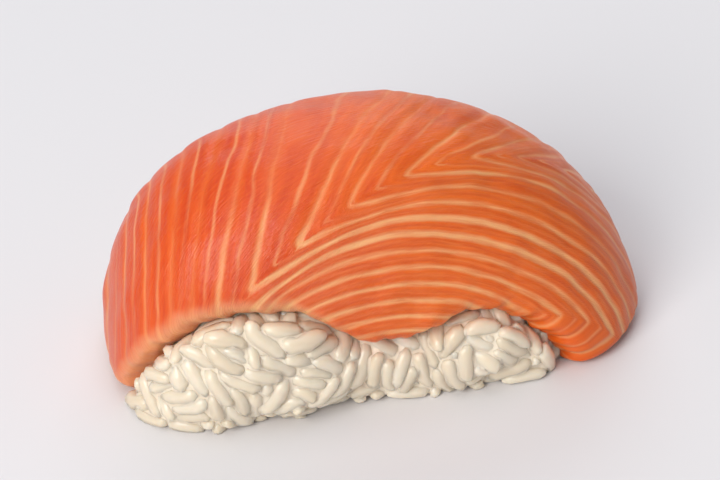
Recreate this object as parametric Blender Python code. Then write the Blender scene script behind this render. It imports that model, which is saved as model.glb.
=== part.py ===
"""A salmon nigiri: a hand-pressed block of sushi rice under a draped slice of raw salmon.

Metres, +Z up. +X runs along the nigiri, -Y is the side where the slice shows most rice.
The origin is at the bottom centre of the whole, on the face that it rests on.
"""

import math

import bmesh
import bpy
import numpy as np

# The whole nigiri, as the outside of the salmon lying over the rice.
LENGTH = 0.0662
WIDTH = 0.0344
HEIGHT = 0.0317
LEFT_SHARE = 0.479  # the crown is nearer the left end
LEFT_END_START = 0.0136  # how far from the crown each end starts to round off
RIGHT_END_START = 0.0116
LEFT_SQUARENESS = 2.38  # 2 is an ellipse seen from the front, more is squarer
RIGHT_SQUARENESS = 1.82
SIDE_SQUARENESS = 2.6  # the same, seen from an end

# The salmon slice.
TOP_THICKNESS = 0.0048
LEFT_THICKNESS = 0.0044
RIGHT_THICKNESS = 0.0048
SIDE_THICKNESS = 0.0034
EDGE_ROUND = 0.0024  # how far in from the slice's edge its top starts to round over
EDGE_SHARE = 0.5  # the share of the thickness that is left at the edge
END_CLEARANCE = 0.0005  # both ends of the slice stop just above the surface below
REST_GAP = 0.0004  # between the rice and the slice
HALF_LENGTH_OVER_TOP = 0.052  # of the slice, measured over the crown
HALF_WIDTH_OVER_TOP = 0.022

# Where the slice's two long edges lie: stations from the left end, -1, to the right end, 1,
# and at each how far round the side the edge hangs, from the crown, 0, to the ground, 1.
FRONT_EDGE = (
    (-1.0, -0.8, -0.55, -0.4, -0.22, -0.1, 0.1, 0.22, 0.33, 0.45, 0.7, 1.0),
    (0.13, 0.355, 0.522, 0.615, 0.71, 0.815, 0.842, 0.815, 0.757, 0.724, 0.71, 0.67),
)
BACK_EDGE = (
    (-1.0, -0.75, -0.45, -0.15, 0.2, 0.45, 0.72, 1.0),
    (0.36, 0.62, 0.72, 0.80, 0.76, 0.82, 0.74, 0.66),
)

# How far the bare rice swells out of the block, as a share of the slice's thickness there.
FRONT_SWELL = (
    (-1.0, -0.75, -0.5, -0.3, -0.1, 0.1, 0.33, 0.5, 0.72, 1.0),
    (0.90, 1.00, 1.12, 1.06, 0.72, 0.64, 0.82, 0.98, 0.88, 0.68),
)
BACK_SWELL = (
    (-1.0, -0.7, -0.4, -0.1, 0.2, 0.5, 0.75, 1.0),
    (0.70, 0.92, 0.80, 1.05, 1.10, 0.78, 0.90, 0.55),
)
SHOULDER = 0.08  # how far below the slice's edge the rice reaches its full swell
RICE_UNEVENNESS = 0.0005
HILL_PITCH = 0.0070  # the spacing of the rice's shallow hills
UNDERCUT_HEIGHT = 0.0042  # the block's foot draws in below this
FRONT_UNDERCUT = (  # stations along x, and how far the foot draws in at each
    (-0.034, -0.024, -0.018, -0.0135, -0.0095, -0.0045, 0.0, 0.006, 0.012, 0.020, 0.032),
    (0.0, 0.0006, 0.0023, 0.0033, 0.0045, 0.0025, 0.0012, 0.0017, 0.0013, 0.0012, 0.0006),
)
BACK_UNDERCUT = 0.0014

RICE_COLUMNS = 48
BARE_ROWS, COVERED_ROWS = 12, 14  # of the rice, below each edge of the slice and under it
SLICE_COLUMNS, SLICE_ROWS = 40, 20


def signed_power(value, power):
    return math.copysign(abs(value) ** power, value)


def curve_through(line, at):
    """The height at one station of a smooth curve through a few stations."""
    stations, heights = map(np.array, line)
    slopes = np.gradient(heights, stations)
    piece = int(np.clip(np.searchsorted(stations, at) - 1, 0, len(stations) - 2))
    span = stations[piece + 1] - stations[piece]
    share = (at - stations[piece]) / span
    ahead = share * share * (3 - 2 * share)
    leave = share * (1 - share) ** 2 * span * slopes[piece]
    arrive = share * share * (share - 1) * span * slopes[piece + 1]
    return heights[piece] * (1 - ahead) + heights[piece + 1] * ahead + leave + arrive


def loaf_point(along, across, inset):
    """A point of the nigiri's dome: along and across run from -1 to 1 and meet the ground at both.
    An inset of 1 gives the rice block under the slice, 0 the slice's outside."""
    left = along < 0
    crown_x = LENGTH * (LEFT_SHARE - 0.5)
    reach = LENGTH * (LEFT_SHARE if left else 1 - LEFT_SHARE)
    reach -= inset * (LEFT_THICKNESS if left else RIGHT_THICKNESS)
    end_start = LEFT_END_START if left else RIGHT_END_START
    power = 2 / (LEFT_SQUARENESS if left else RIGHT_SQUARENESS)
    sideways = signed_power(math.sin(along * math.pi / 2), power)
    upwards = abs(math.cos(along * math.pi / 2)) ** power
    outer_share = abs(math.cos(across * math.pi / 2)) ** (2 / SIDE_SQUARENESS)
    side_share = signed_power(math.sin(across * math.pi / 2), 2 / SIDE_SQUARENESS)
    x = crown_x + sideways * (end_start + (reach - end_start) * outer_share)
    y = side_share * (WIDTH / 2 - inset * SIDE_THICKNESS)
    z = upwards * outer_share * (HEIGHT - inset * TOP_THICKNESS)
    return np.array((x, y, z))


def ease(value):
    """0 to 1 with a soft start and stop."""
    value = min(max(value, 0.0), 1.0)
    return value * value * (3 - 2 * value)


def swell_at(along, across):
    """0 under the slice, and the bare rice's swell below each of its long edges."""
    edge, swell = (FRONT_EDGE, FRONT_SWELL) if across < 0 else (BACK_EDGE, BACK_SWELL)
    below_edge = abs(across) - curve_through(edge, along)
    return curve_through(swell, along) * ease(below_edge / SHOULDER)


def unevenness(point):
    """Shallow hills, from three crossing waves."""
    x, y, z = point * (2 * math.pi / HILL_PITCH)
    hills = math.sin(x + 0.6 * z) + math.sin(0.7 * x - 0.9 * z + 1.3 * y + 2.0)
    hills += math.sin(1.1 * z + 0.8 * y - 0.4 * x + 4.0)
    return RICE_UNEVENNESS * hills / 3


def rice_point(along, across):
    block = loaf_point(along, across, 1)
    outside = loaf_point(along, across, 0)
    thickness = np.linalg.norm(outside - block)
    swell = swell_at(along, across)
    bare = ease(2 * swell)
    point = block + (outside - block) * (swell + bare * unevenness(block) / thickness)
    undercut = BACK_UNDERCUT if across > 0 else curve_through(FRONT_UNDERCUT, point[0])
    drawn_in = undercut * (1 - ease(point[2] / UNDERCUT_HEIGHT)) * (0.4 + 0.6 * bare)
    flat = math.hypot(point[0], point[1])
    point[:2] *= 1 - drawn_in / flat
    return point


def end_station(squareness):
    """How far along the slice reaches before it is END_CLEARANCE from the ground."""
    share = (END_CLEARANCE / HEIGHT) ** (squareness / 2)
    return 1 - math.asin(share) * 2 / math.pi


def rounded(distance):
    """The quarter round of a cut edge: 0 at the edge, 1 from EDGE_ROUND inwards."""
    return math.sqrt(1 - (1 - min(distance / EDGE_ROUND, 1)) ** 2)


def slice_point(lengthwise, crosswise, level):
    """A point of the slice: both ways from -1 to 1, level 0 on its underside and 1 on its top."""
    squareness = LEFT_SQUARENESS if lengthwise < 0 else RIGHT_SQUARENESS
    along = lengthwise * end_station(squareness)
    front = -curve_through(FRONT_EDGE, along)
    back = curve_through(BACK_EDGE, along)
    across = front + (back - front) * (crosswise + 1) / 2
    gap = 1 - REST_GAP / SIDE_THICKNESS
    underside = loaf_point(along, across, gap)
    top = loaf_point(along, across, 0)
    from_end = (1 - abs(lengthwise)) * HALF_LENGTH_OVER_TOP
    from_side = (1 - abs(crosswise)) * HALF_WIDTH_OVER_TOP
    share = EDGE_SHARE + (1 - EDGE_SHARE) * rounded(from_end) * rounded(from_side)
    return underside + (top - underside) * share * level


def rice_row(along, row):
    """How far across a row lies: the rows follow the slice's edges, so that the rice's
    shoulder does too."""
    front = -curve_through(FRONT_EDGE, along)
    back = curve_through(BACK_EDGE, along)
    rows = (0, BARE_ROWS, BARE_ROWS + COVERED_ROWS, 2 * BARE_ROWS + COVERED_ROWS)
    return float(np.interp(row, rows, (-1, front, back, 1)))


def make_rice():
    """A grid bent into the block, closed by its flat foot."""
    mesh = bmesh.new()
    rows = 2 * BARE_ROWS + COVERED_ROWS
    bmesh.ops.create_grid(mesh, x_segments=RICE_COLUMNS, y_segments=rows, size=1.0)
    rim = [edge for edge in mesh.edges if edge.is_boundary]
    for vert in mesh.verts:
        along = vert.co.x
        vert.co = rice_point(along, rice_row(along, (vert.co.y + 1) / 2 * rows))
    bmesh.ops.holes_fill(mesh, edges=rim)
    return mesh


def make_salmon_slice():
    """A flat slab, finer towards its edges, laid over the rice."""
    mesh = bmesh.new()
    bmesh.ops.create_grid(mesh, x_segments=SLICE_COLUMNS, y_segments=SLICE_ROWS, size=1.0)
    made = bmesh.ops.extrude_face_region(mesh, geom=mesh.faces[:], use_keep_orig=True)
    top = [item for item in made["geom"] if isinstance(item, bmesh.types.BMVert)]
    bmesh.ops.translate(mesh, verts=top, vec=(0, 0, 1))
    for vert in mesh.verts:
        lengthwise = math.sin(vert.co.x * math.pi / 2)
        crosswise = math.sin(vert.co.y * math.pi / 2)
        vert.co = slice_point(lengthwise, crosswise, vert.co.z)
    return mesh


def add_part(name, mesh, colour, roughness, collection):
    """One closed sub-part with its own material."""
    bmesh.ops.triangulate(mesh, faces=mesh.faces[:], quad_method="SHORT_EDGE")
    bmesh.ops.recalc_face_normals(mesh, faces=mesh.faces[:])
    data = bpy.data.meshes.new(name)
    mesh.to_mesh(data)
    mesh.free()
    data.shade_smooth()
    data.set_sharp_from_angle(angle=math.radians(50))
    material = bpy.data.materials.new(name)
    material.use_nodes = True
    shader = material.node_tree.nodes["Principled BSDF"]
    shader.inputs["Base Color"].default_value = (*colour, 1)
    shader.inputs["Roughness"].default_value = roughness
    shader.inputs["Metallic"].default_value = 0
    data.materials.append(material)
    part = bpy.data.objects.new(name, data)
    collection.objects.link(part)
    return part


for old in list(bpy.data.objects):
    bpy.data.objects.remove(old, do_unlink=True)
nigiri = bpy.data.collections.new("salmon_nigiri")
bpy.context.scene.collection.children.link(nigiri)
add_part("rice", make_rice(), (0.78, 0.73, 0.63), 0.45, nigiri)
add_part("salmon_slice", make_salmon_slice(), (0.80, 0.17, 0.05), 0.3, nigiri)
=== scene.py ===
import math

import bmesh
import bpy
import numpy as np
from mathutils import Matrix, Vector
from mathutils.bvhtree import BVHTree


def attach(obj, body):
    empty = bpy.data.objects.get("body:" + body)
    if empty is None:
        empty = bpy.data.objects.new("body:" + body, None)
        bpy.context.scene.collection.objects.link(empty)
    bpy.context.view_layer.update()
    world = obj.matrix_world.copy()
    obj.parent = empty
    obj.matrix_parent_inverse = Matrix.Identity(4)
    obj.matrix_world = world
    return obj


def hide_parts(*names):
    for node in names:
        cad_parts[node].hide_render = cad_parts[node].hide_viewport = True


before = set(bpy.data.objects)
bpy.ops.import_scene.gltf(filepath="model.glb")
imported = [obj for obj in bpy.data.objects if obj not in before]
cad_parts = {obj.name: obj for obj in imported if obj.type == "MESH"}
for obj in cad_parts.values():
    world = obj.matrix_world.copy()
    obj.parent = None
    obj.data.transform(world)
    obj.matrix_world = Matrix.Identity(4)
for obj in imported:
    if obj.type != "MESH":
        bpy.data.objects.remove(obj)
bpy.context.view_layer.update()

MM = 0.001


# ---------------------------------------------------------------------------------------
# The outer grains of the rice. Short-grain rice is cooked, dressed with vinegar and pressed
# by hand into a block. Each grain is plump and a little bent, with one flatter side, and
# pressing lays them along the block's outside and squeezes them against each other.

GRAIN_LENGTH = 5.8 * MM
GRAIN_WIDTH = 2.65 * MM
GRAIN_THICKNESS = 2.35 * MM
GRAIN_BEND = 0.4 * MM
GRAIN_SEGMENTS, GRAIN_RINGS = 10, 7
END_BLUNTNESS = 2.6  # 2 would make a grain's outline an ellipse
MOST_FILLED = 1.6  # how many times the ellipse's width a blunt end may have
FLAT_SIDE = 0.16  # the share of its height that a grain's flatter side lacks
LEANEST, PLUMPEST = (0.92, 0.9, 0.9), (1.08, 1.1, 1.1)  # along, across and through
SIZE_SPREAD = 0.15
LUMP_SCALE = 330.0
LUMP_HEIGHT = 0.8 * MM
PLACES_TRIED = 9000
GRAIN_SPACING = 2.1 * MM  # between neighbours, before they are pressed
GRAIN_TILT = 0.2
JUST_OUTSIDE = 0.05 * MM
SLICE_REACH = 2.0 * MM  # the block is bare where the slice is further off than this
TUCKED_UNDER = 4.0 * MM  # how far the grains go on beneath the slice
LAYERS = (-0.1 * MM, 0.12 * MM), (1.0 * MM, 1.4 * MM)  # how deep their crowns lie
FOOT_HEIGHT = 1.7 * MM  # below it the block's side is ragged
FOOT_GAPS = 0.45  # the share of the grains that is missing there
SIDE_FACING = -0.7  # what faces further down than this is the underside
PRESSING_STEPS = 80
BALLS = 3  # in a row along each grain, for the pressing
BALL_STEP = 0.29 * GRAIN_LENGTH
BALL_RADII = np.array((0.36, 0.42, 0.36)) * GRAIN_WIDTH
PRESSING_REACH = 1.1 * GRAIN_LENGTH
BALL_PUSH = 0.25  # the share of an overlap that pushes each of its two balls
PULL_IN, PULL_OUT = 0.5, 0.15  # the same for a ball that lies too high or too deep
LONGEST_PULL_OUT = 0.4 * MM
STEP_GAIN = 1.5
MIDLINE_HALF = 0.28 * GRAIN_LENGTH
SQUEEZE_REACH = 1.3 * GRAIN_LENGTH
SQUEEZE_SHARES = np.linspace(1, 0.3, 25)  # of a grain's radius, tried from the outside
SEED = 11
GRAIN_LIGHT, GRAIN_DARK = (0.88, 0.76, 0.61), (0.79, 0.665, 0.505)
GRAIN_TIP = (0.75, 0.63, 0.47)


def merged_copy(node):
    """A CAD node's mesh with its loose triangles joined up."""
    copy = bmesh.new()
    copy.from_mesh(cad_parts[node].data)
    bmesh.ops.remove_doubles(copy, verts=copy.verts, dist=1e-6)
    bmesh.ops.triangulate(copy, faces=copy.faces[:])
    return copy


def new_piece(name, mesh):
    piece = bpy.data.objects.new(name, mesh)
    bpy.context.scene.collection.objects.link(piece)
    return piece


def bake(piece):
    """Works the piece's modifiers into a plain mesh."""
    graph = bpy.context.evaluated_depsgraph_get()
    mesh = bpy.data.meshes.new_from_object(piece.evaluated_get(graph))
    piece.modifiers.clear()
    piece.data = mesh


class Wire:
    """One socket of a node tree. Arithmetic on wires adds Math nodes."""

    def __init__(self, socket):
        self.socket = socket

    def node(self, kind, inputs, output=0, **settings):
        return add_node(self.socket.id_data, kind, inputs, output, **settings)

    def maths(self, operation, *others):
        inputs = dict(enumerate((self, *others)))
        return self.node("ShaderNodeMath", inputs, operation=operation)

    def __add__(self, other):
        return self.maths("ADD", other)

    def __sub__(self, other):
        return self.maths("SUBTRACT", other)

    def __mul__(self, other):
        return self.maths("MULTIPLY", other)

    def __truediv__(self, other):
        return self.maths("DIVIDE", other)

    def __pow__(self, power):
        return self.maths("POWER", power)

    def __abs__(self):
        return self.maths("ABSOLUTE")

    def __rsub__(self, other):
        return self * -1 + other

    __radd__ = __add__
    __rmul__ = __mul__

    def step(self, low, high):
        """A soft step: 0 at low, 1 at high."""
        inputs = {"Value": self, "From Min": low, "From Max": high}
        return self.node("ShaderNodeMapRange", inputs, interpolation_type="SMOOTHSTEP")

    def mix(self, at_zero, at_one):
        """Two colours mixed by this wire."""
        return self.node("ShaderNodeMix", {0: self, 6: at_zero, 7: at_one}, 2, data_type="RGBA")


def add_node(tree, kind, inputs=(), output=0, **settings):
    """A node of any kind: its settings first, then values or wires for its inputs."""
    node = tree.nodes.new(kind)
    for name, value in settings.items():
        setattr(node, name, value)
    for key, value in dict(inputs).items():
        if isinstance(value, Wire):
            tree.links.new(value.socket, node.inputs[key])
        elif node.inputs[key].type == "RGBA":
            node.inputs[key].default_value = (*value, 1)
        else:
            node.inputs[key].default_value = value
    return Wire(node.outputs[output])


def new_material(name, constants):
    """A material, its place in object space, and its shader with a few constants set."""
    material = bpy.data.materials.new(name)
    material.use_nodes = True
    shader = material.node_tree.nodes["Principled BSDF"]
    for key, value in constants.items():
        shader.inputs[key].default_value = value
    return material, add_node(material.node_tree, "ShaderNodeTexCoord", (), "Object"), shader


def plug(wire, shader, name):
    """Feeds one of the shader's sockets."""
    wire.socket.id_data.links.new(wire.socket, shader.inputs[name])


def speckle(place, scale, detail=2.0):
    """Soft noise around a half."""
    return place.node("ShaderNodeTexNoise", {"Vector": place, "Scale": scale, "Detail": detail})


def bump(height, distance, strength=1.0):
    inputs = {"Height": height, "Distance": distance, "Strength": strength}
    return height.node("ShaderNodeBump", inputs)


outline = merged_copy("rice")
dice = np.random.default_rng(SEED)
outline_tree = BVHTree.FromBMesh(outline)
salmon_tree = BVHTree.FromBMesh(merged_copy("salmon_slice"))


def scatter(amount):
    """Random points all over the block's outside, and the outward directions there."""
    faces = list(outline.faces)
    areas = np.array([face.calc_area() for face in faces])
    picks = dice.choice(len(faces), size=amount, p=areas / areas.sum())
    shares = dice.dirichlet((1, 1, 1), size=amount)
    corners = np.array([[vert.co[:] for vert in face.verts] for face in faces])
    facing = np.array([face.normal[:] for face in faces])
    return np.einsum("nk,nkc->nc", shares, corners[picks]), facing[picks]


def keep_apart(points, least):
    """The points that keep at least that far from each other, taken in turn."""
    kept = []
    for index, point in enumerate(points):
        if not kept or np.min(np.sum((points[kept] - point) ** 2, axis=1)) > least**2:
            kept.append(index)
    return kept


def bare(point, facing):
    """Whether the slice leaves that point of the block uncovered."""
    start = Vector(point + facing * JUST_OUTSIDE)
    return salmon_tree.ray_cast(start, Vector(facing), SLICE_REACH)[0] is None


points, facing = scatter(PLACES_TRIED)
uncovered = np.array([bare(*pair) for pair in zip(points, facing)])
reach = [np.min(np.sum((points[uncovered] - point) ** 2, axis=1)) for point in points]
showing = np.array(reach) < TUCKED_UNDER**2
points, facing = points[showing], facing[showing]
outer = keep_apart(points, GRAIN_SPACING)
inner = keep_apart(points[::-1], GRAIN_SPACING)
kept = np.array(outer + [len(points) - 1 - index for index in inner])
outer_depths = dice.uniform(*LAYERS[0], len(outer))
inner_depths = dice.uniform(*LAYERS[1], len(inner))
crown_depths = np.concatenate((outer_depths, inner_depths))
low_side = (points[kept, 2] < FOOT_HEIGHT) & (facing[kept, 2] > SIDE_FACING)
stays = ~low_side | (dice.uniform(size=len(kept)) > FOOT_GAPS)
kept, crown_depths = kept[stays], crown_depths[stays]
centres, facing = points[kept], facing[kept]
amount = len(kept)
sizes = 1 + SIZE_SPREAD * dice.uniform(-1, 1, amount)
centres = centres - facing * (crown_depths + GRAIN_THICKNESS / 2)[:, None]
aims = np.cross(facing, dice.normal(size=(amount, 3)))
aims /= np.linalg.norm(aims, axis=1, keepdims=True)
aims += facing * GRAIN_TILT * dice.normal(size=(amount, 1))

radii = BALL_RADII * sizes[:, None]
offsets = np.linspace(-BALL_STEP, BALL_STEP, BALLS)[:, None] * sizes[:, None, None]
for step in range(PRESSING_STEPS):
    balls = centres[:, None] + aims[:, None] * offsets
    near = np.linalg.norm(centres[:, None] - centres, axis=2) < PRESSING_REACH
    one, other = np.nonzero(np.triu(near, 1))
    apart = balls[one][:, :, None] - balls[other][:, None]
    distance = np.linalg.norm(apart, axis=3) + 1e-9
    overlap = np.clip(radii[one][:, :, None] + radii[other][:, None] - distance, 0, None)
    apart *= (overlap / distance * BALL_PUSH)[..., None]
    push = np.zeros((amount, BALLS, 3))
    np.add.at(push, one, apart.sum(axis=2))
    np.add.at(push, other, -apart.sum(axis=1))
    for index in np.ndindex(amount, BALLS):
        ball = Vector(balls[index])
        surface, outward, _, _ = outline_tree.find_nearest(ball)
        lacking = radii[index] + crown_depths[index[0]] - (surface - ball).dot(outward)
        pull = PULL_IN if lacking > 0 else PULL_OUT
        push[index] -= np.array(outward) * max(lacking, -LONGEST_PULL_OUT) * pull
    centres = centres + push.mean(axis=1) * STEP_GAIN
    aims += (push[:, -1] - push[:, 0]) / (2 * BALL_STEP)
    aims /= np.linalg.norm(aims, axis=1, keepdims=True)

turns = []
for centre, aim in zip(centres, aims):
    _, outward, _, _ = outline_tree.find_nearest(Vector(centre))
    side = outward.cross(Vector(aim)).normalized() * dice.choice((-1, 1))
    axes = (Vector(aim), side, Vector(aim).cross(side))
    turns.append(Matrix(axes).transposed().to_euler())
grain_places = bpy.data.meshes.new("grain_places")
grain_places.from_pydata(centres.tolist(), [], [])
turn = grain_places.attributes.new("turn", "FLOAT_VECTOR", "POINT")
turn.data.foreach_set("vector", np.array(turns).reshape(-1))
size = grain_places.attributes.new("size", "FLOAT", "POINT")
size.data.foreach_set("value", sizes)

cooked_rice, place, shader = new_material("cooked_rice", {
    "Subsurface Weight": 0.65,
    "Subsurface Radius": (1.0, 0.8, 0.6),
    "Subsurface Scale": 1.6 * MM,
    "Specular IOR Level": 0.45,
    "Coat Weight": 0.45,
    "Coat Roughness": 0.14,
})
tint = place.node("ShaderNodeAttribute", {}, "Fac", attribute_name="tint")
end_share = place.node("ShaderNodeAttribute", {}, "Fac", attribute_name="end_share")
patches = speckle(place, 500)
body = tint.mix(GRAIN_LIGHT, GRAIN_DARK)
creamy = end_share.step(0.75, 1.0) * 0.35 + patches.step(0.45, 0.75) * 0.25
plug(creamy.mix(body, GRAIN_TIP), shader, "Base Color")
plug(0.28 + patches * 0.2, shader, "Roughness")
plug(bump(patches + speckle(place, 1800) * 0.3, 0.25 * MM, 0.35), shader, "Normal")

tree = bpy.data.node_groups.new("rice_grains", "GeometryNodeTree")
tree.interface.new_socket("Places", in_out="INPUT", socket_type="NodeSocketGeometry")
for name in ("Length", "Width", "Thickness", "Bend"):
    tree.interface.new_socket(name, in_out="INPUT", socket_type="NodeSocketFloat")
tree.interface.new_socket("Seed", in_out="INPUT", socket_type="NodeSocketInt")
tree.interface.new_socket("Grains", in_out="OUTPUT", socket_type="NodeSocketGeometry")
given = {wire.name: Wire(wire) for wire in tree.nodes.new("NodeGroupInput").outputs if wire.name}
ball = add_node(tree, "GeometryNodeMeshUVSphere", {0: GRAIN_SEGMENTS, 1: GRAIN_RINGS, 2: 0.5})
lying = ball.node("GeometryNodeTransform", {"Geometry": ball, "Rotation": (0, math.pi / 2, 0)})
place = add_node(tree, "GeometryNodeInputPosition")
axes = place.node("ShaderNodeSeparateXYZ", {0: place}).socket.node.outputs
x, y, z = map(Wire, axes)
blunt_end = (1 - abs(x * 2) ** END_BLUNTNESS).maths("MAXIMUM", 0.0) ** 0.5
round_end = (1 - (x * 2) ** 2).maths("MAXIMUM", 0.0004) ** 0.5
fuller = (blunt_end / round_end).maths("MINIMUM", MOST_FILLED)
flatter = z * (1 - FLAT_SIDE * z.step(0.0, 0.3))
shape = x.node("ShaderNodeCombineXYZ", {
    0: x * given["Length"],
    1: y * fuller * given["Width"] - x * x * 4 * given["Bend"],
    2: flatter * fuller * given["Thickness"],
})
grain = shape.node("GeometryNodeSetPosition", {"Geometry": lying, "Position": shape})
grain = grain.node(
    "GeometryNodeStoreNamedAttribute",
    {"Geometry": grain, "Name": "end_share", "Value": abs(x * 2)},
)
turn = add_node(tree, "GeometryNodeInputNamedAttribute", {0: "turn"}, data_type="FLOAT_VECTOR")
size = add_node(tree, "GeometryNodeInputNamedAttribute", {0: "size"}, data_type="FLOAT")
plumpness = given["Seed"].node(
    "FunctionNodeRandomValue",
    {0: LEANEST, 1: PLUMPEST, "Seed": given["Seed"]},
    data_type="FLOAT_VECTOR",
)
grains = turn.node("GeometryNodeInstanceOnPoints", {
    "Points": given["Places"],
    "Instance": grain,
    "Rotation": turn.node("FunctionNodeEulerToRotation", {0: turn}),
    "Scale": size.node("ShaderNodeVectorMath", {0: plumpness, "Scale": size}, operation="SCALE"),
})
tint = given["Seed"].node("FunctionNodeRandomValue", {"Seed": given["Seed"] + 1}, 1)
grains = grains.node(
    "GeometryNodeStoreNamedAttribute",
    {"Geometry": grains, "Name": "tint", "Value": tint},
    domain="INSTANCE",
)
grains = grains.node("GeometryNodeRealizeInstances", {0: grains})
lumps = add_node(tree, "ShaderNodeTexNoise", {"Scale": LUMP_SCALE, "Detail": 1.0}, "Color")
lumps = lumps.node("ShaderNodeVectorMath", {0: lumps, 1: (0.5, 0.5, 0.5)}, operation="SUBTRACT")
lumps = lumps.node("ShaderNodeVectorMath", {0: lumps, "Scale": LUMP_HEIGHT}, operation="SCALE")
grains = lumps.node("GeometryNodeSetPosition", {"Geometry": grains, "Offset": lumps})
grains = grains.node("GeometryNodeSetShadeSmooth", {"Geometry": grains})
grains = grains.node("GeometryNodeSetMaterial", {"Geometry": grains, "Material": cooked_rice})
outlet = tree.nodes.new("NodeGroupOutput")
tree.links.new(grains.socket, outlet.inputs[0])

rice_grains = new_piece("rice_grains", grain_places)
growth = rice_grains.modifiers.new("grains", "NODES")
growth.node_group = tree
values = {
    "Length": GRAIN_LENGTH,
    "Width": GRAIN_WIDTH,
    "Thickness": GRAIN_THICKNESS,
    "Bend": GRAIN_BEND,
    "Seed": SEED,
}
for socket in tree.interface.items_tree:
    if socket.name in values:
        growth[socket.identifier] = values[socket.name]
bake(rice_grains)


def squeezed(shapes):
    """Grains that overlap, each cut back to the face that it shares with its neighbour."""
    half = MIDLINE_HALF * sizes
    along = np.einsum("gvc,gc->gv", shapes - centres[:, None], aims)
    along = np.clip(along, -half[:, None], half[:, None])
    middles = centres[:, None] + aims[:, None] * along[..., None]
    spokes = shapes - middles
    for one in range(amount):
        near = np.linalg.norm(centres - centres[one], axis=1) < SQUEEZE_REACH
        near[one] = False
        tried = middles[one] + spokes[one] * SQUEEZE_SHARES[:, None, None]
        own = np.linalg.norm(tried - middles[one], axis=2) / sizes[one]
        gap = tried[:, :, None] - centres[near]
        along = np.clip(np.einsum("svnc,nc->svn", gap, aims[near]), -half[near], half[near])
        other = np.linalg.norm(gap - along[..., None] * aims[near], axis=3) / sizes[near]
        free = np.min(other, axis=2) >= own
        free[-1] = True
        shapes[one] = tried[np.argmax(free, axis=0), np.arange(shapes.shape[1])]
    return shapes


corners = np.empty(len(rice_grains.data.vertices) * 3)
rice_grains.data.vertices.foreach_get("co", corners)
corners = squeezed(corners.reshape(amount, -1, 3)).reshape(-1, 3)
corners[:, 2] = np.maximum(corners[:, 2], 0)
rice_grains.data.vertices.foreach_set("co", corners.reshape(-1))
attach(rice_grains, "root")
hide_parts("rice")


# ---------------------------------------------------------------------------------------
# The heart of the rice. Behind its outer grains the block is one sticky mass, and the same
# starch fills the creases between the grains, so that they hold together without a mould.

HEART_DEPTH = 2.2 * MM  # below the block's outline
HEART_FOOT = 1.3 * MM  # and above the surface that the block stands on
HEART_MESH = 0.7 * MM
FILM_MESH = 0.36 * MM
FILM_SMOOTHING = 4
FILM_DEPTH = 0.18 * MM  # of the starch below the crowns of the grains
FILM_FOOT = 0.3 * MM
STARCH_DARK, STARCH_LIGHT = (0.88, 0.76, 0.60), (0.92, 0.82, 0.67)

heart_mesh = bpy.data.meshes.new("rice_heart")
outline.to_mesh(heart_mesh)
rice_heart = new_piece("rice_heart", heart_mesh)
remesh = rice_heart.modifiers.new("even_mesh", "REMESH")
remesh.mode = "VOXEL"
remesh.voxel_size = HEART_MESH
bake(rice_heart)


def move_in(mesh, depth, lowest):
    """Shrinks a mesh by a depth, and keeps it above a lowest height."""
    facing = [vertex.normal.copy() for vertex in mesh.vertices]
    for vertex, normal in zip(mesh.vertices, facing):
        vertex.co -= normal * depth
        vertex.co.z = max(vertex.co.z, lowest)


move_in(rice_heart.data, HEART_DEPTH, HEART_FOOT)
filled = bmesh.new()
filled.from_mesh(rice_heart.data)
filled.from_mesh(rice_grains.data)
filled.to_mesh(rice_heart.data)
remesh = rice_heart.modifiers.new("filled_creases", "REMESH")
remesh.mode = "VOXEL"
remesh.voxel_size = FILM_MESH
smooth = rice_heart.modifiers.new("smoothed_film", "SMOOTH")
smooth.iterations = FILM_SMOOTHING
bake(rice_heart)
move_in(rice_heart.data, FILM_DEPTH, FILM_FOOT)
rice_heart.data.shade_smooth()

starch, place, shader = new_material("rice_starch", {
    "Subsurface Weight": 0.3,
    "Subsurface Radius": (1.0, 0.8, 0.6),
    "Subsurface Scale": 1.2 * MM,
    "Roughness": 0.42,
    "Specular IOR Level": 0.35,
})
patches = speckle(place, 420, 3)
plug(patches.step(0.35, 0.7).mix(STARCH_DARK, STARCH_LIGHT), shader, "Base Color")
plug(bump(patches, 0.3 * MM, 0.5), shader, "Normal")
rice_heart.data.materials.clear()
rice_heart.data.materials.append(starch)
rice_heart.data.polygons.foreach_set("material_index", [0] * len(rice_heart.data.polygons))
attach(rice_heart, "root")
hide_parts("rice")


# ---------------------------------------------------------------------------------------
# The salmon. One slice is cut at a slant from a skinned fillet, so that thin white sheets
# of fat between its muscle bands show as nested V's. It drapes over the rice by its own
# weight and sticks to it.

LENGTH = 66.2 * MM  # of the draped slice's outside, as are the next two
WIDTH = 34.4 * MM
HEIGHT = 31.7 * MM
LEFT_SHARE = 0.479  # the crown is nearer the left end
LEFT_END_START = 13.6 * MM  # how far from the crown each end starts to round off
RIGHT_END_START = 11.6 * MM
LEFT_SQUARENESS = 2.38
RIGHT_SQUARENESS = 1.82
SIDE_SQUARENESS = 2.6
TOP_THICKNESS = 4.8 * MM
LEFT_THICKNESS = 4.4 * MM
RIGHT_THICKNESS = 4.8 * MM
SIDE_THICKNESS = 3.4 * MM
REST_GAP = 0.03  # between the rice and the slice, as a share of its thickness
END_CLEARANCE = 0.5 * MM
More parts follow.
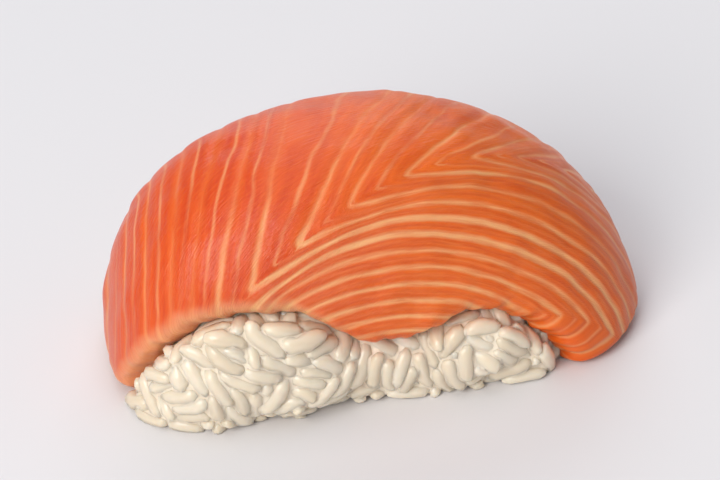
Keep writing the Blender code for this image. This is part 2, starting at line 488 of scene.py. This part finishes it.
# Where the slice's two long edges lie: stations from the left end, -1, to the right end, 1,
# and at each how far round the side the edge hangs, from the crown, 0, to the ground, 1.
FRONT_EDGE = (
    (-1.0, -0.8, -0.55, -0.4, -0.22, -0.1, 0.1, 0.22, 0.33, 0.45, 0.7, 1.0),
    (0.13, 0.355, 0.522, 0.615, 0.71, 0.815, 0.842, 0.815, 0.757, 0.724, 0.71, 0.67),
)
BACK_EDGE = (
    (-1.0, -0.75, -0.45, -0.15, 0.2, 0.45, 0.72, 1.0),
    (0.36, 0.62, 0.72, 0.80, 0.76, 0.82, 0.74, 0.66),
)
RIDGE_STEPS, SECTION_STEPS = 1000, 400  # from the crown to each end and to each side
SLICE_ROWS, SLICE_COLUMNS = 280, 128  # along the slice and across it
RIM_STEPS = 5
EDGE_ROUND = 2.0 * MM  # how far in from the edge the slice's top starts to round over
EDGE_SHARE = 0.52  # the share of the thickness that is left at the edge
RIM_BULGE = 0.3 * MM
EDGE_WAVE = 0.3 * MM
FRONT_WAVE_PITCH, BACK_WAVE_PITCH, END_WAVE_PITCH = 8 * MM, 9 * MM, 10 * MM
END_WAVE_POWER = 6  # the higher it is, the less of the slice an end's waves reach
UNDULATION = 0.22 * MM
LONG_PITCH, CROSS_PITCH = 17 * MM, 13 * MM  # of the slice's shallow hills
GROOVE_DEPTH = 0.13 * MM  # along each line of fat
GROOVE_REACH = 0.55  # in mm to each side of the line
LIFT = 0.7 * MM  # of a short stretch of the front edge
LIFT_PLACE = 9.0 * MM
LIFT_REACH = 3.0 * MM
PALE_WIDTH, PALE_END_WIDTH = 2.4 * MM, 4 * MM  # of the thin front edge and left end
PALE_START, PALE_BLEND = -6 * MM, 9 * MM  # the front edge is pale left of this
RED_DEEP, RED_LIGHT = (0.60, 0.046, 0.007), (0.76, 0.100, 0.014)
ORANGE_DEEP, ORANGE_LIGHT = (0.68, 0.084, 0.005), (0.90, 0.172, 0.012)
FIBRE_COLOUR = (0.86, 0.18, 0.02)
HALO_COLOUR = (0.88, 0.20, 0.03)  # of the flesh beside a line of fat
PALE_EDGE = (0.92, 0.44, 0.22)
FAT_COLOUR = (0.96, 0.62, 0.29)


def signed_power(value, power):
    """A power that keeps the sign."""
    return np.sign(value) * np.abs(value) ** power


def loaf(along, across, inset):
    """The nigiri's dome: along and across run from -1 to 1 and meet the ground at both.
    An inset of 1 gives the rice block, 0 the slice's outside."""
    left = along < 0
    reach = LENGTH * np.where(left, LEFT_SHARE, 1 - LEFT_SHARE)
    reach = reach - inset * np.where(left, LEFT_THICKNESS, RIGHT_THICKNESS)
    end_start = np.where(left, LEFT_END_START, RIGHT_END_START)
    power = 2 / np.where(left, LEFT_SQUARENESS, RIGHT_SQUARENESS)
    sideways = signed_power(np.sin(along * np.pi / 2), power)
    upwards = np.abs(np.cos(along * np.pi / 2)) ** power
    outer_share = np.abs(np.cos(across * np.pi / 2)) ** (2 / SIDE_SQUARENESS)
    side_share = signed_power(np.sin(across * np.pi / 2), 2 / SIDE_SQUARENESS)
    x = LENGTH * (LEFT_SHARE - 0.5) + sideways * (end_start + (reach - end_start) * outer_share)
    y = side_share * (WIDTH / 2 - inset * SIDE_THICKNESS)
    z = upwards * outer_share * (HEIGHT - inset * TOP_THICKNESS)
    return np.stack(np.broadcast_arrays(x, y, z), axis=-1)


def curve_through(line, at):
    """Heights of a smooth curve through a few stations."""
    stations, heights = map(np.array, line)
    slopes = np.gradient(heights, stations)
    piece = np.clip(np.searchsorted(stations, at) - 1, 0, len(stations) - 2)
    span = stations[piece + 1] - stations[piece]
    share = (at - stations[piece]) / span
    ahead = share * share * (3 - 2 * share)
    leave = share * (1 - share) ** 2 * span * slopes[piece]
    arrive = share * share * (share - 1) * span * slopes[piece + 1]
    return heights[piece] * (1 - ahead) + heights[piece + 1] * ahead + leave + arrive


def lengths_along(points):
    """Distances from the first of a line of points, along it."""
    steps = np.linalg.norm(np.diff(points, axis=-2), axis=-1)
    return np.concatenate((np.zeros(steps.shape[:-1] + (1,)), np.cumsum(steps, axis=-1)), axis=-1)


def end_station(squareness):
    """The station of an end of the slice, which stops just above the surface below."""
    share = (END_CLEARANCE / HEIGHT) ** (squareness / 2)
    return 1 - math.asin(share) * 2 / math.pi


def waves(at, pitch, phase):
    """Uneven waves between -1 and 1."""
    turn = at * 2 * np.pi / pitch
    return (np.sin(turn + phase) + 0.6 * np.sin(2.3 * turn + 2 * phase)) / 1.6


def rounded(distance):
    """The height of a quarter round at a distance from the edge, 1 from its reach on."""
    return np.sqrt(1 - (1 - np.clip(distance / EDGE_ROUND, 0, 1)) ** 2)


ridge_stations = np.linspace(-1, 1, 2 * RIDGE_STEPS + 1)
ridge = lengths_along(loaf(ridge_stations, np.zeros_like(ridge_stations), 0))
ridge -= ridge[RIDGE_STEPS]
start, stop = np.interp(
    (-end_station(LEFT_SQUARENESS), end_station(RIGHT_SQUARENESS)), ridge_stations, ridge
)
place_s = np.linspace(start, stop, SLICE_ROWS)[:, None]
along = np.interp(place_s, ridge, ridge_stations)
section_stations = np.linspace(-1, 1, 2 * SECTION_STEPS + 1)
section = lengths_along(loaf(along, section_stations[None], 0))
section -= section[:, [SECTION_STEPS]]


def edge_line(edge):
    """The distance from the crown to an edge of the slice, in each row."""
    rows = zip(edge[:, 0], section)
    return np.array([np.interp(round_side, section_stations, row) for round_side, row in rows])


front = edge_line(-curve_through(FRONT_EDGE, along))
front += EDGE_WAVE * waves(place_s[:, 0], FRONT_WAVE_PITCH, 1.0)
back = edge_line(curve_through(BACK_EDGE, along))
back += EDGE_WAVE * waves(place_s[:, 0], BACK_WAVE_PITCH, 3.0)
shares = np.linspace(0, 1, SLICE_COLUMNS)[None]
place_w = front[:, None] * (1 - shares) + back[:, None] * shares
across = np.array([np.interp(at, row, section_stations) for at, row in zip(place_w, section)])
pull_in = np.where(place_s < 0, EDGE_WAVE, -EDGE_WAVE)
pull_in = pull_in * (1 + waves(place_w, END_WAVE_PITCH, 2.0))
near_end = np.clip(np.where(place_s < 0, place_s / start, place_s / stop), 0, 1)
place_s = place_s + pull_in * near_end**END_WAVE_POWER
along = np.interp(place_s, ridge, ridge_stations)
from_end = np.minimum(place_s - start, stop - place_s)
from_front = place_w - front[:, None]
from_side = np.minimum(from_front, back[:, None] - place_w)

# The sheets of fat, in mm from the crown along the slice and across it. Each line turns at
# a keel that climbs slowly from the front left: above it the line runs steeply over to the
# back, below it nearly along the slice. The lines that would turn beyond the front edge
# have their steep and their flat sides placed apart.
KEEL_START, KEEL_HEIGHT, KEEL_SLOPE = -10.5, -15.0, 0.373
RIGHT_TURNS = (-10.6, -3.4, 5.4, 13.6, 21.4, 29.5, 37, 45)
STEEP_TURNS = (-60.5, -56.5, -52.5, -48.5, -44.5, -40.5, -36.5, -32.3, -27.6, -19.4)
FLAT_TURNS = (-70.6, -64.6, -58.6, -52.6, -46.6, -40.6, -34.6, -28.6, -22.6, -16.6)
UPRIGHT_PLACES = (-36.5, -34.6, -32.4, -29.9, -27.2, -24.0, -21.2, -17.7, -13.8, -9.0)
STEEP_LEAN, RIGHT_LEAN = 0.93, 0.6  # how far along for each mm up, and more at the right
STEEP_BEND, LEFT_BEND, RIGHT_BEND = -0.006, -0.016, -0.018
FLAT_SLOPE, FLAT_STEP, STEP_LENGTH = 0.03, 2.4, 14
UPRIGHT_START, UPRIGHT_BLEND = -10.5, 5  # left of the start the sheets stand upright
SHEET_TO_SHEET = (0.976, -0.213, -0.043)  # the direction there
SHEET_LEAN, LEAN_UP = 0.2, (0.16, 0.59, 0.79)
BOLD_LINES, BOLD_REACH = -1.5, 0.7  # the middle of their numbers, and how many to each side
SEARCH_BACK, SEARCH_ON, HALVINGS = 70, 40, 40
NARROWEST_BAND, WIDEST_BAND = 1.6, 7


def ease(value):
    """A soft step: 0 up to 0, and 1 from 1 on."""
    value = np.clip(value, 0, 1)
    return value * value * (3 - 2 * value)


def keel(turn):
    """How high the keel is where a line turns."""
    return KEEL_HEIGHT + KEEL_SLOPE * (turn - KEEL_START)


def steep_reach(turn, up):
    """How far along a line is, at a height above the keel."""
    left, right = ease((-8 - turn) / 20), ease(turn / 14)
    lean = STEEP_LEAN + RIGHT_LEAN * right
    bend = STEEP_BEND + LEFT_BEND * left + RIGHT_BEND * right
    return turn + lean * up + bend * up * up


def flat_rise(turn, onward):
    """How high a line is, at a distance along it beyond the keel."""
    step = FLAT_STEP * (1 - np.exp(-((onward / STEP_LENGTH) ** 2)))
    return keel(turn) + FLAT_SLOPE * onward + step


def line_turn(s, w, steep):
    """Where the line through a place of the slice turns, found by halving."""
    low, high = s - SEARCH_BACK, s + SEARCH_ON
    for _ in range(HALVINGS):
        middle = (low + high) / 2
        if steep:
            beyond = steep_reach(middle, w - keel(middle)) > s
        else:
            beyond = flat_rise(middle, s - middle) > w
        low, high = np.where(beyond, low, middle), np.where(beyond, middle, high)
    return middle


def upright_place(points):
    """Where along the slice the sheet through a point stands, near the left end: there the
    sheets are nearly upright and side by side."""
    plain = points @ SHEET_TO_SHEET
    lean = SHEET_LEAN * ease((plain + 27.5) / 12)
    return plain - lean * (points @ LEAN_UP - 8)


outside = loaf(along, across, 0)
s_mm = np.broadcast_to(place_s / MM, place_w.shape)
w_mm = place_w / MM
numbers = np.arange(len(STEEP_TURNS + RIGHT_TURNS)) - len(STEEP_TURNS)
steep_turn = line_turn(s_mm, w_mm, True)
flat_turn = line_turn(s_mm, w_mm, False)
steep_number = np.interp(steep_turn, STEEP_TURNS + RIGHT_TURNS, numbers)
flat_number = np.interp(flat_turn, FLAT_TURNS + RIGHT_TURNS, numbers)
stand = upright_place(outside / MM)
upright_number = np.interp(stand, UPRIGHT_PLACES, numbers[: len(UPRIGHT_PLACES)] + 1)
uprightness = ease((UPRIGHT_START - stand) / UPRIGHT_BLEND)
steep_number += uprightness * (upright_number - steep_number)
number = np.minimum(steep_number, flat_number)
turn = np.where(steep_number < flat_number, steep_turn, flat_turn)
slopes = [
    np.gradient(number, axis=axis) / np.linalg.norm(np.gradient(outside / MM, axis=axis), axis=-1)
    for axis in (0, 1)
]
band_width = np.clip(1 / np.maximum(np.hypot(*slopes), 1e-3), NARROWEST_BAND, WIDEST_BAND)
line_place = np.hypot(s_mm - turn, w_mm - keel(turn))
from_line = np.abs((number + 0.5) % 1 - 0.5) * band_width

# Some lines are bolder: two at the front left, the points of the V's, most of all the first,
# and the flat sides low on the front. The steep sides get fainter towards the back, and the
# flat ones towards the right.
off_bold = np.abs(number - BOLD_LINES) - BOLD_REACH
boldness = 0.5 * ease(1.5 - off_bold / 0.4) * ease(-w_mm / 8 - 0.3)
first_turn = 0.2 + 0.8 * np.exp(-(((turn - KEEL_START) / 5) ** 2))
boldness = np.maximum(boldness, ease(1 - line_place / 4) * first_turn)
boldness = boldness - 0.45 * ease((w_mm - keel(turn) - 3) / 13) * ease((stand + 32) / 8)
flat_part = ease(2 * (steep_number - flat_number))
boldness = boldness + flat_part * (0.2 * ease((-10 - turn) / 8) - 0.15 * ease((turn - 2) / 10))

underside = loaf(along, across, 1 - REST_GAP)
outward = outside - underside
thickness = np.linalg.norm(outward, axis=-1, keepdims=True)
outward /= thickness
share = EDGE_SHARE + (1 - EDGE_SHARE) * rounded(from_end) * rounded(from_side)
grooves = -GROOVE_DEPTH * np.exp(-((from_line / GROOVE_REACH) ** 2))
long_hills = waves(place_s + 0.6 * place_w, LONG_PITCH, 0.5)
cross_hills = waves(place_w - 0.3 * place_s, CROSS_PITCH, 2.0)
relief = grooves * (0.3 + 0.7 * rounded(from_side)) + UNDULATION * long_hills * cross_hills
from_lift = ((place_s - LIFT_PLACE) / LIFT_REACH) ** 2
lift = LIFT * np.exp(-from_lift - (from_front / LIFT_REACH) ** 2)
top = underside + outward * (thickness * share[..., None] + (relief + lift)[..., None])
underside = underside + outward * lift[..., None]

index = np.arange(SLICE_ROWS * SLICE_COLUMNS).reshape(SLICE_ROWS, SLICE_COLUMNS)
rim = np.concatenate((index[0], index[1:, -1], index[-1, -2::-1], index[-2:0:-1, 0]))
row, column = np.divmod(rim, SLICE_COLUMNS)
inner = index[np.clip(row, 1, SLICE_ROWS - 2), np.clip(column, 1, SLICE_COLUMNS - 2)]
top, underside = top.reshape(-1, 3), underside.reshape(-1, 3)
out_of_edge = top[rim] - top[inner]
out_of_edge /= np.linalg.norm(out_of_edge, axis=1, keepdims=True)
layers = [top]
for step in range(1, RIM_STEPS):
    down = step / RIM_STEPS
    bulge = RIM_BULGE * math.sin(math.pi * down)
    layers.append(top[rim] * (1 - down) + underside[rim] * down + out_of_edge * bulge)
layers.append(underside)
rings = [rim]
for step in range(1, RIM_STEPS):
    rings.append(np.arange(len(rim)) + len(top) + (step - 1) * len(rim))
last = len(top) + (RIM_STEPS - 1) * len(rim)
rings.append(rim + last)
quads = (index[:-1, :-1], index[1:, :-1], index[1:, 1:], index[:-1, 1:])
quads = np.stack(quads, -1).reshape(-1, 4)
faces = [quads, quads[:, ::-1] + last]
for upper, lower in zip(rings, rings[1:]):
    faces.append(np.stack((upper, np.roll(upper, -1), np.roll(lower, -1), lower), -1))
flesh_mesh = bpy.data.meshes.new("salmon")
flesh_mesh.from_pydata(np.concatenate(layers).tolist(), [], np.concatenate(faces).tolist())
paleness = ease(1 - from_front / PALE_WIDTH) * ease((PALE_START - place_s) / PALE_BLEND)
paleness = np.maximum(paleness, ease(1 - (place_s - start) / PALE_END_WIDTH))
downs = np.linspace(0, 1, RIM_STEPS + 1)
depth = np.concatenate([np.full(len(layer), down) for layer, down in zip(layers, downs)])
for name, values, drift in (
    ("line_number", number, 0.35),
    ("band_width", band_width, 0),
    ("line_place", line_place, 0),
    ("boldness", boldness, 0),
    ("paleness", paleness, 0),
):
    values = values.reshape(-1)
    values = np.concatenate((values, np.tile(values[rim], RIM_STEPS - 1), values)) + drift * depth
    flesh_mesh.attributes.new(name, "FLOAT", "POINT").data.foreach_set("value", values)
joined = bmesh.new()
joined.from_mesh(flesh_mesh)
bmesh.ops.recalc_face_normals(joined, faces=joined.faces[:])
joined.to_mesh(flesh_mesh)
flesh_mesh.shade_smooth()
salmon = new_piece("salmon_slice_flesh", flesh_mesh)

raw_salmon, place, shader = new_material("raw_salmon", {
    "Subsurface Weight": 0.3,
    "Subsurface Radius": (1.0, 0.35, 0.15),
    "Subsurface Scale": 1.5 * MM,
    "Specular IOR Level": 0.35,
    "Coat Weight": 0.04,
    "Coat Roughness": 0.3,
})


def carried(name):
    """What the mesh carries under that name."""
    return place.node("ShaderNodeAttribute", {}, "Fac", attribute_name=name)


def stretched_noise(across, along, scale):
    """Noise in a frame that follows the lines of fat."""
    return speckle(across.node("ShaderNodeCombineXYZ", {0: across, 1: along}), scale, 3.0)


def chance_tone(number):
    """A chance shade for each whole number, the same all through its band."""
    whole = number.maths("FLOOR")
    return whole.node("ShaderNodeTexWhiteNoise", {"W": whole}, noise_dimensions="1D")


spacing = carried("band_width")
line_number = carried("line_number") + (speckle(place, 110) - 0.5) * 0.4
line_place = carried("line_place")
to_line = abs((line_number + 0.5).maths("FRACT") - 0.5) * spacing
to_half_line = abs(line_number.maths("FRACT") - 0.5) * spacing
streaks = stretched_noise(line_number * 3.6, line_place * 0.12, 1.4)
fibres = stretched_noise(line_number * 3.6, line_place * 2.6, 1.3)
band_tone = chance_tone(line_number)
line_tone = chance_tone(line_number + 0.5)
boldness = carried("boldness")
crowded = 1 - spacing.step(1.8, 3.5)
strength = (0.16 + 0.18 * line_tone + 0.12 * crowded) * (0.5 + 0.9 * streaks.step(0.3, 0.65))
strength = strength + 0.35 * boldness
half_width = 0.04 + 0.24 * speckle(place, 170) + 0.16 * boldness
line = (1 - (to_line - half_width).step(-0.2, 0.35)) * strength
half_line = (1 - to_half_line.step(0.0, 0.42)) * (0.08 + 0.24 * spacing.step(2.6, 4.0))
half_line = half_line * (0.25 + 0.75 * streaks.step(0.3, 0.65))
halo = (1 - to_line.step(0.0, 1.2)) * 0.3
along_x = place.node("ShaderNodeSeparateXYZ", {0: place})
orange_side = (along_x + speckle(place, 60) * 8 * MM).step(-14 * MM, 12 * MM)
deep = orange_side.mix(RED_DEEP, ORANGE_DEEP)
light = orange_side.mix(RED_LIGHT, ORANGE_LIGHT)
flesh = (band_tone * 0.35 + streaks.step(0.25, 0.75) * 0.65).mix(deep, light)
flesh = (fibres.step(0.35, 0.8) * 0.3).mix(flesh, FIBRE_COLOUR)
flesh = halo.mix(flesh, HALO_COLOUR)
flesh = (carried("paleness") * 0.75).mix(flesh, PALE_EDGE)
flesh = line.maths("MAXIMUM", half_line).mix(flesh, FAT_COLOUR)
plug(flesh, shader, "Base Color")
plug(0.22 + 0.24 * fibres, shader, "Roughness")
wet_film = speckle(place, 900, 3)
relief = fibres * 0.9 + streaks * 0.8 - line * 0.8 + wet_film * 0.6
plug(bump(relief, 0.16 * MM, 0.75), shader, "Normal")
flesh_mesh.materials.append(raw_salmon)
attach(salmon, "root")
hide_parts("salmon_slice")


# ---------------------------------------------------------------------------------------
# The table, the lights and the camera. A plain pale surface, with a soft window at its
# front left, a wider one behind it and a pale ceiling above.

FLOOR_SIZE = 6.0
TABLE_DARK, TABLE_LIGHT = (0.73, 0.73, 0.755), (0.75, 0.75, 0.775)
SKY_COLOUR, SKY_STRENGTH = (0.80, 0.80, 0.83), 0.34
CAMERA_PLACE = Vector((-0.0726, -0.3884, 0.3200))
CAMERA_AIM = Vector((-0.0010, 0.0, 0.0135))
CAMERA_ROLL = -3.1
LENS = 205.0

floor_mesh = bpy.data.meshes.new("floor")
corner = FLOOR_SIZE / 2
floor_mesh.from_pydata(
    [(-corner, -corner, 0), (corner, -corner, 0), (corner, corner, 0), (-corner, corner, 0)],
    [], [(0, 1, 2, 3)],
)
floor = new_piece("floor", floor_mesh)
pale, place, shader = new_material("pale_table", {"Roughness": 0.6})
plug(speckle(place, 3).step(0.3, 0.7).mix(TABLE_DARK, TABLE_LIGHT), shader, "Base Color")
floor_mesh.materials.append(pale)


def area_light(name, place, size, power, colour):
    """A soft square light that faces the origin."""
    light = bpy.data.lights.new(name, "AREA")
    light.size = size
    light.energy = power
    light.color = colour
    lamp = bpy.data.objects.new(name, light)
    lamp.location = place
    lamp.rotation_euler = (-Vector(place)).to_track_quat("-Z", "Y").to_euler()
    lamp.visible_camera = False
    bpy.context.scene.collection.objects.link(lamp)


area_light("window", (-0.62, -0.62, 0.66), 0.6, 8.9, (1.0, 0.97, 0.93))
area_light("back_window", (0.15, 1.0, 0.6), 1.0, 5.0, (0.97, 0.97, 1.0))
area_light("ceiling", (-0.1, 0.0, 1.2), 1.0, 4.4, (1.0, 1.0, 1.0))
world = bpy.data.worlds.new("studio")
world.use_nodes = True
sky = world.node_tree.nodes["Background"].inputs
sky["Color"].default_value = (*SKY_COLOUR, 1)
sky["Strength"].default_value = SKY_STRENGTH
bpy.context.scene.world = world

camera_data = bpy.data.cameras.new("camera")
camera_data.lens = LENS
camera_data.clip_start = 0.01
camera = bpy.data.objects.new("camera", camera_data)
camera.location = CAMERA_PLACE
facing = (CAMERA_AIM - CAMERA_PLACE).to_track_quat("-Z", "Y").to_matrix()
camera.rotation_euler = (facing @ Matrix.Rotation(math.radians(CAMERA_ROLL), 3, "Z")).to_euler()
bpy.context.scene.collection.objects.link(camera)
bpy.context.scene.camera = camera
bpy.context.scene.view_settings.view_transform = "Standard"
